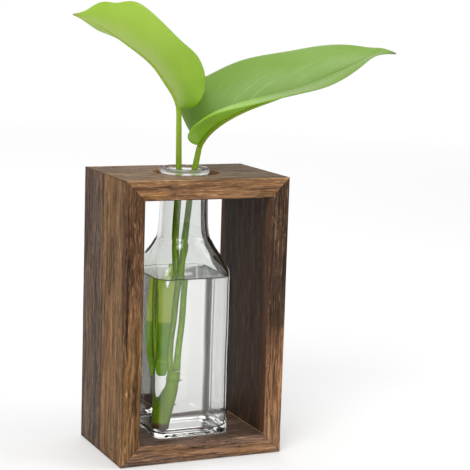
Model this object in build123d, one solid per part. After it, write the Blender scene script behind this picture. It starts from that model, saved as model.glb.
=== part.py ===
from build123d import *
import math
import os

# Propagation vase: a mitred wooden frame, a glass bottle that hangs loose in its top hole, and a cutting.
# Millimetres. +Z is up, the open front faces -Y, and the origin is the middle of the frame's underside.

# Frame boards
frame_width = 103.0
frame_depth = 72.0
board_thickness = 12.0
board_edge_radius = 0.8
neck_hole_slack = 11.3
neck_hole_edge_radius = 0.6

# Splines glued across the mitres, out of sight
spline_thickness_share = 0.25
spline_width_share = 0.67
spline_inset_share = 0.62
spline_end_cover = 10.0
spline_clearance = 0.15

# Glass bottle, which stands off the hole's centre by these shares of the slack on each side
bottle_offset_x_share = -0.48
bottle_offset_y_share = -0.69
bottle_width = 47.0
bottle_corner_radius = 5.0
bottle_heel_radius = 1.6
body_height = 92.5
shoulder_height = 24.0
neck_height = 39.8
rim_height = 3.1
rim_stand_out = 3.4
rim_bead = 0.8
rim_edge_radius = 1.4
neck_diameter = 28.2
neck_waist_flare = 0.8
neck_foot_flare = 1.6
neck_waist_height = 14.0
neck_flat_width = 0.5
glass_wall = 2.2
glass_base = 4.0
floor_corner_radius = 1.3

# The shoulder turns the square body into the round neck: height, half width and corner, from body to neck
shoulder_rise_shares = [0, 0.14, 0.27, 0.43, 0.56, 0.67, 0.77, 0.86, 0.94, 1]
shoulder_width_shares = [1, 0.995, 0.955, 0.84, 0.71, 0.56, 0.41, 0.25, 0.09, 0]
shoulder_corner_shares = [0, 0.07, 0.24, 0.5, 0.71, 0.86, 0.95, 0.99, 1, 1]

# Cutting: its leaves spread in an upright plane turned this far from the frame's front
spread_turn = 24.7
cane_rise = 35.0
cane_diameter = 8.4
cane_cut_diameter = 6.8
cane_wall_clearance = 0.3
node_diameter = 9.2
root_nub_diameter = 2.0
root_nub_tip_diameter = 1.0
root_nub_length = 2.4
root_nub_rise_shares = [0.5, 0.97]
right_leaf_rise = 12.7
left_leaf_rise = 35.2
right_petiole_foot_diameter = 5.0
right_petiole_diameter = 3.9
right_petiole_top_diameter = 3.4
left_petiole_foot_diameter = 4.0
left_petiole_diameter = 3.5
left_petiole_top_diameter = 3.0
sheath_width = 7.6
sheath_thickness = 1.2
sheath_tip_drop = 4.5
sheath_clearance = 0.15
leaf_thickness = 0.7
left_leaf_length = 82.5
right_leaf_length = 128.5

# Stem places from the bottle's axis: x and y as shares of the stems' reach, and how far up from foot to top
cane_shares = [
    (-0.973, -0.795, 0), (-0.823, -0.741, 0.343), (-0.659, -0.689, 0.69), (-0.594, -0.651, 0.87),
    (-0.548, -0.622, 1),
]
right_petiole_shares = [
    (-0.451, -0.593, 0), (-0.346, -0.425, 0.1), (-0.192, -0.222, 0.21), (-0.097, -0.039, 0.315),
    (0.019, 0.106, 0.46), (0.135, 0.145, 0.595), (0.261, 0.135, 0.75), (0.396, 0.106, 0.88),
    (0.57, 0.113, 1),
]
left_petiole_shares = [
    (-0.656, -0.554, 0), (-0.613, -0.278, 0.084), (-0.436, -0.023, 0.174), (-0.316, 0.155, 0.263),
    (-0.169, 0.246, 0.39), (-0.164, 0.295, 0.514), (-0.135, 0.251, 0.643), (-0.151, 0.164, 0.746),
    (-0.203, 0.08, 0.83), (-0.28, -0.06, 0.92), (-0.341, -0.156, 1),
]

# The sheath beside the left petiole, from its free tip up along the petiole's places: how much further out
# and away it stands, as shares of the stems' reach, and its share of the sheath's width
sheath_shares = [
    (0.116, 0.057, 0.34), (0.065, 0.142, 0.58), (0, 0.153, 1), (0, 0.068, 0.97), (0, 0, 0.7),
    (0, 0, 0.21),
]

# Leaf outlines as shares of the leaf's length from its base: spread, away, rise
left_midrib_shares = [
    (0, 0, 0), (-0.02, -0.005, 0.06), (-0.05, -0.01, 0.115), (-0.105, -0.025, 0.195), (-0.172, -0.035, 0.285),
    (-0.256, -0.05, 0.362), (-0.37, -0.06, 0.442), (-0.475, -0.07, 0.513), (-0.6, -0.085, 0.586),
    (-0.76, -0.095, 0.641),
]
left_near_shares = [
    (0.005, -0.02, 0.01), (0.07, -0.073, 0.009), (0.13, -0.133, 0.038), (0.172, -0.185, 0.095),
    (0.192, -0.225, 0.2), (0.165, -0.255, 0.32), (0.115, -0.267, 0.398), (0.042, -0.279, 0.462),
    (-0.112, -0.279, 0.61), (-0.193, -0.267, 0.678), (-0.274, -0.255, 0.73), (-0.338, -0.242, 0.744),
    (-0.452, -0.206, 0.727), (-0.517, -0.182, 0.733), (-0.6, -0.145, 0.708), (-0.665, -0.121, 0.669),
    (-0.76, -0.095, 0.641),
]
left_far_shares = [
    (0.005, 0.012, 0.01), (0.063, 0.045, 0.018), (0.115, 0.08, 0.05), (0.146, 0.108, 0.105),
    (0.152, 0.13, 0.18), (0.128, 0.145, 0.255), (0.079, 0.155, 0.328), (-0.009, 0.158, 0.402),
    (-0.118, 0.155, 0.462), (-0.233, 0.14, 0.492), (-0.346, 0.115, 0.504), (-0.451, 0.075, 0.504),
    (-0.548, 0.02, 0.523), (-0.641, -0.035, 0.573), (-0.717, -0.08, 0.622), (-0.76, -0.095, 0.641),
]
right_midrib_shares = [
    (0, 0, 0), (0.028, 0.004, 0.042), (0.074, 0.008, 0.088), (0.141, 0.008, 0.134), (0.214, 0.008, 0.172),
    (0.35, 0, 0.228), (0.49, -0.015, 0.292), (0.643, -0.03, 0.369), (0.78, -0.047, 0.438),
    (0.84, -0.056, 0.456), (0.89, -0.07, 0.45),
]
right_near_shares = [
    (-0.003, -0.023, 0.006), (-0.024, -0.078, 0.014), (-0.041, -0.132, 0.031), (-0.046, -0.171, 0.053),
    (-0.036, -0.202, 0.079), (-0.003, -0.233, 0.115), (0.048, -0.25, 0.152), (0.119, -0.262, 0.184),
    (0.194, -0.264, 0.205), (0.322, -0.257, 0.234), (0.482, -0.218, 0.271), (0.565, -0.194, 0.299),
    (0.627, -0.171, 0.33), (0.741, -0.117, 0.406), (0.79, -0.09, 0.437), (0.89, -0.07, 0.45),
]
right_far_shares = [
    (-0.005, 0.016, 0.017), (-0.028, 0.031, 0.038), (-0.048, 0.047, 0.062), (-0.072, 0.07, 0.1),
    (-0.092, 0.09, 0.143), (-0.096, 0.109, 0.19), (-0.08, 0.124, 0.236), (-0.038, 0.134, 0.278),
    (0.021, 0.14, 0.311), (0.17, 0.132, 0.383), (0.297, 0.117, 0.42), (0.404, 0.101, 0.443),
    (0.508, 0.078, 0.465), (0.613, 0.047, 0.478), (0.706, 0.016, 0.477), (0.768, -0.008, 0.472),
    (0.825, -0.04, 0.472), (0.89, -0.07, 0.45),
]
vein_shares = [0, 0.06, 0.12, 0.2, 0.3, 0.42, 0.55, 0.68, 0.8, 0.91, 0.985]
vein_forward_power = 1.35
across_shares = [0, 0.1, 0.25, 0.5, 0.75, 1]
blade_crown_share = 0.1
surface_tolerance_share = 0.002

# Worked out from the sizes above
bench = board_thickness
inner_floor = bench + glass_base
body_top = bench + body_height
neck_foot = body_top + shoulder_height
rim_foot = neck_foot + neck_height
bottle_top = rim_foot + rim_height
frame_height = bottle_top - rim_stand_out
neck_hole_diameter = neck_diameter + neck_hole_slack
neck_waist_diameter = neck_diameter + neck_waist_flare
neck_foot_diameter = neck_waist_diameter + neck_foot_flare
bottle_x = bottle_offset_x_share * neck_hole_slack / 2
bottle_y = bottle_offset_y_share * neck_hole_slack / 2
spline_inset = spline_inset_share * board_thickness
cane_cut_edge_radius = floor_corner_radius - cane_wall_clearance
stem_reach = bottle_width / 2 - glass_wall - cane_cut_diameter / 2 - cane_wall_clearance
cane_top = inner_floor + cane_rise
cane_taper_diameter = (cane_cut_diameter + cane_diameter) / 2
left_leaf_base = bottle_top + left_leaf_rise
right_leaf_base = bottle_top + right_leaf_rise
spread_dir = Vector(math.cos(math.radians(spread_turn)), -math.sin(math.radians(spread_turn)), 0)
away_dir = Vector(math.sin(math.radians(spread_turn)), math.cos(math.radians(spread_turn)), 0)


def export(shape, name):
    """Write one node's STEP file."""
    os.makedirs("parts", exist_ok=True)
    shape.label = name
    export_step(shape, f"parts/{name}.step")


def prism(points):
    """A board's side view, given as x and z, drawn out over the frame's depth and centred on it."""
    outline = Plane.XZ * make_face(Polyline(*points, close=True))
    return extrude(outline, frame_depth / 2, both=True)


def eased(board, axis):
    """Round the board's four long edges."""
    return fillet(board.edges().filter_by(axis), board_edge_radius)


def spline_place(side, level):
    """Where a spline crosses a mitre: side is -1 or 1, level is 0 at the foot and 1 at the top."""
    x = side * (frame_width / 2 - spline_inset)
    z = spline_inset if level == 0 else frame_height - spline_inset
    tilt = 45 * side * (1 if level == 0 else -1)
    return Pos(x, 0, z) * Rot(0, tilt, 0)


def spline(side, level, clearance):
    """A flat strip across one mitre, or with a clearance the groove that takes it."""
    width = spline_width_share * board_thickness + 2 * clearance
    length = frame_depth - 2 * spline_end_cover + 2 * clearance
    thickness = spline_thickness_share * board_thickness + 2 * clearance
    return spline_place(side, level) * Box(width, length, thickness)


def frame_boards():
    """Four boards mitred at the corners, the top one with the hole for the bottle's neck."""
    half, inner = frame_width / 2, frame_width / 2 - board_thickness
    top, under = frame_height, frame_height - board_thickness
    boards = {
        "frame_top_board": eased(prism([(-half, top), (half, top), (inner, under), (-inner, under)]), Axis.X),
        "frame_bottom_board": eased(prism([(-half, 0), (half, 0), (inner, bench), (-inner, bench)]), Axis.X),
        "frame_left_board": eased(
            prism([(-half, 0), (-half, top), (-inner, under), (-inner, bench)]), Axis.Z,
        ),
        "frame_right_board": eased(prism([(half, 0), (half, top), (inner, under), (inner, bench)]), Axis.Z),
    }
    grooves = [spline(side, level, spline_clearance) for side in (-1, 1) for level in (0, 1)]
    for name in boards:
        for groove in grooves:
            boards[name] -= groove
    hole = Pos(0, 0, frame_height) * Cylinder(neck_hole_diameter / 2, 3 * board_thickness)
    drilled = boards["frame_top_board"] - hole
    rims = drilled.edges().filter_by(GeomType.CIRCLE).filter_by(
        lambda e: abs(e.radius - neck_hole_diameter / 2) < neck_hole_edge_radius / 2
    )
    boards["frame_top_board"] = fillet(rims, neck_hole_edge_radius)
    return boards


def bottle_section(half_width, corner, z):
    """A square with rounded corners across the bottle's axis."""
    radius = min(corner, half_width - neck_flat_width / 2)
    return Pos(bottle_x, bottle_y, z) * RectangleRounded(2 * half_width, 2 * half_width, radius)


def bottle_form(inset, floor, mouth, edge_radius):
    """The bottle's outer shape, or with the wall as inset its hollow, from floor up to mouth."""
    half = bottle_width / 2 - inset
    corner = bottle_corner_radius - inset
    foot = neck_foot_diameter / 2 - inset
    body = extrude(bottle_section(half, corner, floor), body_top - floor)
    body = fillet(body.faces().sort_by(Axis.Z)[0].edges(), edge_radius)
    rings = []
    for rise, width, round_share in zip(shoulder_rise_shares, shoulder_width_shares, shoulder_corner_shares):
        ring_half = foot + width * (half - foot)
        ring_corner = corner + round_share * (foot - corner)
        rings.append(bottle_section(ring_half, ring_corner, body_top + rise * shoulder_height))
    shoulder = loft(rings)
    necks = [
        (neck_foot, neck_foot_diameter), (neck_foot + neck_waist_height, neck_waist_diameter),
        (rim_foot, neck_diameter), (mouth, neck_diameter),
    ]
    neck = loft([bottle_section(d / 2 - inset, d / 2, z) for z, d in necks], ruled=True)
    return body + shoulder + neck


def glass_bottle():
    """Square bottle, hollow and open at the mouth, with a rounded bead round its rim."""
    bead = Cylinder(neck_diameter / 2 + rim_bead, rim_height)
    bead = Pos(bottle_x, bottle_y, rim_foot + rim_height / 2) * bead
    bead = fillet(bead.edges().filter_by(GeomType.CIRCLE), rim_edge_radius)
    outside = bottle_form(0, bench, bottle_top - rim_edge_radius, bottle_heel_radius) + bead
    hollow = bottle_form(glass_wall, inner_floor, bottle_top + rim_height, floor_corner_radius)
    return outside - hollow


def stem_points(shares, foot, top):
    """Places up a stem that rises from foot to top inside the bottle."""
    return [
        Vector(bottle_x + x * stem_reach, bottle_y + y * stem_reach, foot + rise * (top - foot))
        for x, y, rise in shares
    ]


def stem(points, diameters):
    """A round stem through level circles."""
    return loft([Plane(point) * Circle(diameter / 2) for point, diameter in zip(points, diameters)])


def petiole(shares, top, foot_diameter, diameter, top_diameter):
    """A leaf stalk from the cane's top up to a leaf, thicker at its foot and thinner at its top."""
    points = stem_points(shares, cane_top, top)
    return stem(points, [foot_diameter] + [diameter] * (len(points) - 2) + [top_diameter])


def cutting_cane():
    """The short piece of main stem, with its node ring, its cut lower end and its root nubs."""
    points = stem_points(cane_shares, inner_floor, cane_top)
    cane = stem(points, [cane_cut_diameter, cane_taper_diameter, cane_diameter, node_diameter, cane_diameter])
    cane = fillet(cane.edges().sort_by(Axis.Z)[0], cane_cut_edge_radius)
    foot, node = points[0], points[3]
    for share in root_nub_rise_shares:
        place = foot + (node - foot) * share + spread_dir * (cane_diameter - root_nub_length) / 2
        nub = Cone(root_nub_diameter / 2, root_nub_tip_diameter / 2, root_nub_length)
        cane += Plane(place, z_dir=spread_dir) * nub
    return cane


def leaf_sheath():
    """The thin blade that hangs beside the left petiole, from above the water down to its free tip."""
    stalk = stem_points(left_petiole_shares, cane_top, left_leaf_base)
    tip = stalk[0] - Vector(0, 0, sheath_tip_drop)
    stand_off = left_petiole_foot_diameter / 2 + sheath_clearance
    levels = []
    for point, (out, away, width_share) in zip([tip] + stalk, sheath_shares):
        width = sheath_width * width_share
        place = point - spread_dir * (stand_off + width / 2 + out * stem_reach) + away_dir * away * stem_reach
        levels.append(Plane(place, x_dir=spread_dir) * SlotOverall(width, sheath_thickness))
    return loft(levels)


def leaf_curve(shares, base, length):
    """A smooth curve through a leaf's outline shares."""
    points = []
    for spread, away, rise in shares:
        points.append(base + (spread_dir * spread + away_dir * away + Vector(0, 0, rise)) * length)
    return Spline(*points)


def blade_row(foot, edge, ahead, upward):
    """Points from the midrib out to one margin, arched between the two."""
    span = edge - foot
    arch = span.cross(ahead).normalized() * upward * 4 * blade_crown_share * span.length
    return [foot + span * t + arch * t * (1 - t) for t in across_shares]


def leaf(midrib_shares, near_shares, far_shares, base, length):
    """A heart-shaped blade, folded along its midrib, that starts at the petiole's top."""
    midrib = leaf_curve(midrib_shares, base, length)
    near = leaf_curve(near_shares, base, length)
    far = leaf_curve(far_shares, base, length)
    grid = []
    for share in vein_shares:
        rib_share = share**vein_forward_power
        foot, ahead = midrib @ rib_share, midrib % rib_share
        near_row = blade_row(foot, near @ share, ahead, 1)
        far_row = blade_row(foot, far @ share, ahead, -1)
        grid.append(near_row[::-1] + far_row[1:])
    face = Face.make_surface_from_array_of_points(
        grid, tol=surface_tolerance_share * length, min_deg=2, max_deg=3
    )
    return Solid.thicken(face, leaf_thickness)


parts = frame_boards()
for side, side_name in ((-1, "left"), (1, "right")):
    for level, level_name in ((0, "bottom"), (1, "top")):
        parts[f"spline_{level_name}_{side_name}"] = spline(side, level, 0)
parts["glass_bottle"] = glass_bottle()

cane = cutting_cane()
left_base = stem_points(left_petiole_shares, cane_top, left_leaf_base)[-1]
right_base = stem_points(right_petiole_shares, cane_top, right_leaf_base)[-1]
left_leaf = leaf(left_midrib_shares, left_near_shares, left_far_shares, left_base, left_leaf_length)
right_leaf = leaf(right_midrib_shares, right_near_shares, right_far_shares, right_base, right_leaf_length)
right_petiole = petiole(
    right_petiole_shares, right_leaf_base,
    right_petiole_foot_diameter, right_petiole_diameter, right_petiole_top_diameter,
) - right_leaf
left_petiole = petiole(
    left_petiole_shares, left_leaf_base,
    left_petiole_foot_diameter, left_petiole_diameter, left_petiole_top_diameter,
) - right_petiole - left_leaf
parts["cutting_cane"] = cane
parts["petiole_right"] = right_petiole
parts["petiole_left"] = left_petiole
parts["leaf_sheath"] = leaf_sheath()
parts["leaf_left"] = left_leaf
parts["leaf_right"] = right_leaf

for node, shape in parts.items():
    export(shape, node)
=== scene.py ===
import bmesh
import bpy
import math
import numpy as np
from mathutils import Matrix, Vector


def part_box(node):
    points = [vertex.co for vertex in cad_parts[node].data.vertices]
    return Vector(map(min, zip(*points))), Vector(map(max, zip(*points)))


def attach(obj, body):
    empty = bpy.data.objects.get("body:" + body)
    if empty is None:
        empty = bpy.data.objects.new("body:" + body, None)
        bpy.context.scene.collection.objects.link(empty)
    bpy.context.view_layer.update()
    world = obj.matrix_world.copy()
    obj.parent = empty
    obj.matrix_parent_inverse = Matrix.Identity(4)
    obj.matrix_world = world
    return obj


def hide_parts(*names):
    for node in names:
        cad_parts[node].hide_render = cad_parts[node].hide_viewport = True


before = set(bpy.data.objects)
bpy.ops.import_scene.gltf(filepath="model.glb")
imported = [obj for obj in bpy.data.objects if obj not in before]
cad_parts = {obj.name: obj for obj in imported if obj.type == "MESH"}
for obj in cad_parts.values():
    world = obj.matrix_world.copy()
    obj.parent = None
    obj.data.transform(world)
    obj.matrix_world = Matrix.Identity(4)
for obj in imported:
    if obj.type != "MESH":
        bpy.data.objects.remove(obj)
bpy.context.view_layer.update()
mm = 0.001

# Sizes read from the frame, in metres
topLow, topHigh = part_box("frame_top_board")
bottleLow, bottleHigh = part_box("glass_bottle")
halfWidth = topHigh.x
halfDepth = topHigh.y
frameTop = topHigh.z
board = topHigh.z - topLow.z
bottleX = (bottleLow.x + bottleHigh.x) / 2
bottleY = (bottleLow.y + bottleHigh.y) / 2
bottleHalf = (bottleHigh.x - bottleLow.x) / 2
bench = bottleLow.z
print("frame", round(halfWidth * 2, 4), round(halfDepth * 2, 4), round(frameTop, 4))


# Four-cornered faces of a grid of points, which may close round in either direction
def gridFaces(count, across, closeRows, closeCols):
    r, c = np.meshgrid(np.arange(count - (not closeRows)), np.arange(across - (not closeCols)), indexing="ij")
    corners = [(r, c), (r, c + 1), (r + 1, c + 1), (r + 1, c)]
    faces = np.stack([row % count * across + col % across for row, col in corners], -1)
    return faces.reshape(-1, 4).tolist()


# Smooth-shaded object in the scene, with named values at its points
def newPiece(name, points, faces, values):
    mesh = bpy.data.meshes.new(name)
    mesh.from_pydata(points.tolist(), [], faces)
    mesh.polygons.foreach_set("use_smooth", np.full(len(faces), True))
    for key, flat in values.items():
        mesh.attributes.new(key, "FLOAT", "POINT").data.foreach_set("value", flat.astype(np.float32))
    mesh.update()
    piece = bpy.data.objects.new(name, mesh)
    bpy.context.scene.collection.objects.link(piece)
    return piece


# Mesh from rows of points that close round in the second direction; a pole shuts each end,
# or the rows join up into a ring when ring is true
def loopMesh(name, rows, ring=False, values=None):
    count, around = rows.shape[:2]
    points = rows.reshape(-1, 3)
    flat = {key: table.reshape(-1) for key, table in (values or {}).items()}
    faces = gridFaces(count, around, ring, True)
    if not ring:
        points = np.vstack([points, rows[0].mean(0), rows[-1].mean(0)])
        last = (count - 1) * around
        c = np.arange(around)
        n = (c + 1) % around
        faces += np.stack([np.full(around, count * around), n, c], -1).tolist()
        faces += np.stack([np.full(around, count * around + 1), last + c, last + n], -1).tolist()
        for key, table in flat.items():
            flat[key] = np.append(table, [table[:around].mean(), table[last:].mean()])
    return newPiece(name, points, faces, flat)


# Mesh from an open grid of points
def sheetMesh(name, rows, values):
    flat = {key: table.reshape(-1) for key, table in values.items()}
    return newPiece(name, rows.reshape(-1, 3), gridFaces(*rows.shape[:2], False, False), flat)


# Lattice noise from 0 to 1: random values at whole numbers, eased between by 3t^2 - 2t^3
def smoothNoise(x, y, seed, size=97):
    table = np.random.default_rng(seed).random((size, size))
    xi, yi = np.floor(x).astype(int), np.floor(y).astype(int)
    fx, fy = x - xi, y - yi
    fx, fy = fx * fx * (3 - 2 * fx), fy * fy * (3 - 2 * fy)
    xi, yi, xj, yj = xi % size, yi % size, (xi + 1) % size, (yi + 1) % size
    low = table[xi, yi] * (1 - fx) + table[xj, yi] * fx
    high = table[xi, yj] * (1 - fx) + table[xj, yj] * fx
    return low * (1 - fy) + high * fy


# Cubic curve through points: second derivatives from the usual three-term system, chord-length spaced
def smoothCurve(points, shares):
    p = np.asarray(points, float)
    if p.ndim == 1:
        p = p[:, None]
    steps = np.linalg.norm(np.diff(p[:, :3], axis=0), axis=1)
    knots = np.concatenate([[0], np.cumsum(steps)])
    n = len(p)
    h = np.diff(knots)
    system, right = np.eye(n), np.zeros_like(p)
    for i in range(1, n - 1):
        system[i, i - 1:i + 2] = h[i - 1] / 6, (h[i - 1] + h[i]) / 3, h[i] / 6
        right[i] = (p[i + 1] - p[i]) / h[i] - (p[i] - p[i - 1]) / h[i - 1]
    second = np.linalg.solve(system, right)
    at = np.asarray(shares) * knots[-1]
    k = np.clip(np.searchsorted(knots, at, side="right") - 1, 0, n - 2)
    a = ((knots[k + 1] - at) / h[k])[:, None]
    b = 1 - a
    lift = ((a**3 - a) * second[k] + (b**3 - b) * second[k + 1]) * (h[k]**2)[:, None] / 6
    return a * p[k] + b * p[k + 1] + lift


# Unit normals of a grid, from the cross product of its two directions
def gridNormals(rows, wrapRows, wrapCols):
    def step(axis, wrap):
        if wrap:
            return np.roll(rows, -1, axis) - np.roll(rows, 1, axis)
        return np.gradient(rows, axis=axis)
    n = np.cross(step(1, wrapCols), step(0, wrapRows))
    return n / np.maximum(np.linalg.norm(n, axis=2, keepdims=True), 1e-12)


# New material, with its node tree and its main shader
def newMaterial(name):
    material = bpy.data.materials.new(name)
    material.use_nodes = True
    tree = material.node_tree
    return material, tree, tree.nodes["Principled BSDF"]


def addNode(tree, kind, **settings):
    node = tree.nodes.new(kind)
    for key, value in settings.items():
        setattr(node, key, value)
    return node


# Feeds a value or a socket into a node's input
def feed(tree, node, key, value):
    if isinstance(value, bpy.types.NodeSocket):
        tree.links.new(value, node.inputs[key])
    else:
        node.inputs[key].default_value = value


def feedAll(tree, node, values):
    for key, value in values.items():
        feed(tree, node, key, value)


def mathNode(tree, operation, a, b=0.0, clamp=False):
    node = addNode(tree, "ShaderNodeMath", operation=operation, use_clamp=clamp)
    feedAll(tree, node, {0: a, 1: b})
    return node.outputs[0]


def times(tree, a, b):
    return mathNode(tree, "MULTIPLY", a, b)


# Value eased from one range to another by 3t^2 - 2t^3, held at the ends
def ramp(tree, value, low, high, toLow=0.0, toHigh=1.0):
    node = addNode(tree, "ShaderNodeMapRange", interpolation_type="SMOOTHSTEP")
    feedAll(tree, node, {"Value": value, "From Min": low, "From Max": high})
    feedAll(tree, node, {"To Min": toLow, "To Max": toHigh})
    return node.outputs["Result"]


def mix(tree, share, a, b, blend="MIX"):
    node = addNode(tree, "ShaderNodeMix", data_type="RGBA", blend_type=blend)
    feedAll(tree, node, {0: share, 6: a, 7: b})
    return node.outputs[2]


def srgb(r, g, b):
    values = [v / 255 for v in (r, g, b)]
    return tuple(v / 12.92 if v <= 0.04045 else ((v + 0.055) / 1.055)**2.4 for v in values) + (1.0,)


def noiseNode(tree, vector, scale, detail=3.0, rough=0.5, offset=(0, 0, 0)):
    mapping = addNode(tree, "ShaderNodeMapping")
    feedAll(tree, mapping, {"Vector": vector, "Scale": scale, "Location": offset})
    noise = addNode(tree, "ShaderNodeTexNoise")
    feedAll(tree, noise, {"Vector": mapping.outputs[0], "Scale": 1.0, "Detail": detail, "Roughness": rough})
    return noise.outputs["Fac"]


def objectPlace(tree):
    return addNode(tree, "ShaderNodeTexCoord").outputs["Object"]


# The X, Y and Z of a place
def splitPlace(tree, place):
    split = addNode(tree, "ShaderNodeSeparateXYZ")
    feed(tree, split, 0, place)
    return split.outputs


# A share times one ramp for each bound, given as (axis, from, to) in mm
def insideBounds(tree, split, bounds, share):
    for axis, start, end in bounds:
        share = times(tree, ramp(tree, split[axis], start * mm, end * mm), share)
    return share


def addBump(tree, shader, height, distance, strength):
    bump = addNode(tree, "ShaderNodeBump")
    feedAll(tree, bump, {"Height": height, "Distance": distance, "Strength": strength})
    feed(tree, shader, "Normal", bump.outputs[0])


# Camera, solved from the frame's corners in the photograph
cameraSpec = {
    "place": (-0.350523, -0.834994, 0.276604),
    "azimuth": -24.6865,
    "elevation": 9.1619,
    "roll": 1.8489,
    "lens": 116.72,
    "sensor": 36.0,
}


def makeCamera(spec):
    a, e, r = (math.radians(spec[key]) for key in ("azimuth", "elevation", "roll"))
    back = Vector((math.sin(a) * math.cos(e), -math.cos(a) * math.cos(e), math.sin(e)))
    side = Vector((0, 0, 1)).cross(back).normalized()
    up = back.cross(side)
    turnedSide = side * math.cos(r) + up * math.sin(r)
    turnedUp = up * math.cos(r) - side * math.sin(r)
    data = bpy.data.cameras.new("camera")
    data.lens, data.sensor_width = spec["lens"], spec["sensor"]
    data.clip_start, data.clip_end = 0.05, 20
    camera = bpy.data.objects.new("camera", data)
    turn = Matrix((turnedSide, turnedUp, back)).transposed().to_4x4()
    camera.matrix_world = Matrix.Translation(spec["place"]) @ turn
    bpy.context.scene.collection.objects.link(camera)
    bpy.context.scene.camera = camera


makeCamera(cameraSpec)
print("camera")

# Wood
woodSpec = {
    "ease": 0.7 * mm,
    "mitreGap": 0.05 * mm,
    "relief": 0.16 * mm,
    "acrossStep": 0.75 * mm,
    "alongSteps": 130,
    "quarterSteps": 5,
    "hole": 19.75 * mm,
    "holeEase": 0.6 * mm,
    "holeFade": 2.0 * mm,
    "frontSteps": 150,
    "endSteps": 96,
    "holeRows": 9,
    "topRows": 52,
    "edgeRows": 16,
    "underRows": 26,
}
# Each layer of the relief: its length along the grain, its width across it, and its share
grainSpec = {
    "bendLength": 30 * mm,
    "bendWidth": 10 * mm,
    "bendReach": 4 * mm,
    "layers": [(45 * mm, 3.0 * mm, 0.45), (22 * mm, 1.4 * mm, 0.35), (9 * mm, 0.7 * mm, 0.2)],
}


# Brushed grain from -1 to 1: layers of long thin noise, bent sideways by a slower one
def grain(along, across, seed):
    bend = smoothNoise(along / grainSpec["bendLength"], across / grainSpec["bendWidth"], seed)
    bent = across + bend * grainSpec["bendReach"]
    total = 0
    for k, (length, width, share) in enumerate(grainSpec["layers"], 1):
        total = total + share * smoothNoise(along / length, bent / width, seed + k)
    return total * 2 - 1


# Cross-section of a board: a rectangle with eased corners, as (x, y) round from one corner
def eased(halfX, halfY, spec):
    radius = spec["ease"]
    out = []
    corners = [(1, -1, -90), (1, 1, 0), (-1, 1, 90), (-1, -1, 180)]
    for (sx, sy, start), (tx, ty, _) in zip(corners, corners[1:] + corners[:1]):
        turn = np.radians(start + np.linspace(0, 90, spec["quarterSteps"]))
        cx, cy = sx * (halfX - radius), sy * (halfY - radius)
        out.append(np.stack([cx + radius * np.cos(turn), cy + radius * np.sin(turn)], 1))
        push = radius * np.array([np.cos(turn[-1]), np.sin(turn[-1])])
        a = np.array([cx, cy]) + push
        b = np.array([tx * (halfX - radius), ty * (halfY - radius)]) + push
        count = max(2, int(np.linalg.norm(b - a) / spec["acrossStep"]))
        out.append(a + (b - a) * np.linspace(0, 1, count + 1)[1:-1, None])
    return np.vstack(out)


# A mitred board without a hole: its cross-section carried from one mitre plane to the other
def mitredBoard(name, upright, sign, seed, spec):
    section = eased(board / 2, halfDepth, spec)
    shares = np.linspace(0, 1, spec["alongSteps"])
    across = section[:, 1] + section[:, 0]
    depthIn = board / 2 - section[:, 0] * sign
    outer = frameTop / 2 if upright else halfWidth
    reach = outer - depthIn - spec["mitreGap"]
    along = (shares[:, None] * 2 - 1) * reach[None, :]
    rows = np.zeros(along.shape + (3,))
    if upright:
        rows[..., 0] = (sign * (halfWidth - board / 2) + section[:, 0])[None, :]
        rows[..., 1] = section[:, 1]
        rows[..., 2] = frameTop / 2 + along
    else:
        rows[..., 2] = board / 2 + section[:, 0]
        rows[..., 1] = section[:, 1]
        rows[..., 0] = along
    pattern = grain(along, np.broadcast_to(across, along.shape), seed)
    normal = gridNormals(rows, False, True)
    outward = rows - rows.mean(1, keepdims=True)
    normal *= np.sign((normal * outward).sum(2, keepdims=True))
    rows = rows + normal * (pattern - 1)[..., None] * spec["relief"] / 2
    if (np.cross(rows[1, 1] - rows[1, 0], rows[2, 0] - rows[1, 0]) * normal[1, 0]).sum() < 0:
        rows, pattern = rows[:, ::-1], pattern[:, ::-1]
    return loopMesh(name, rows, values={"grain": pattern})


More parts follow.
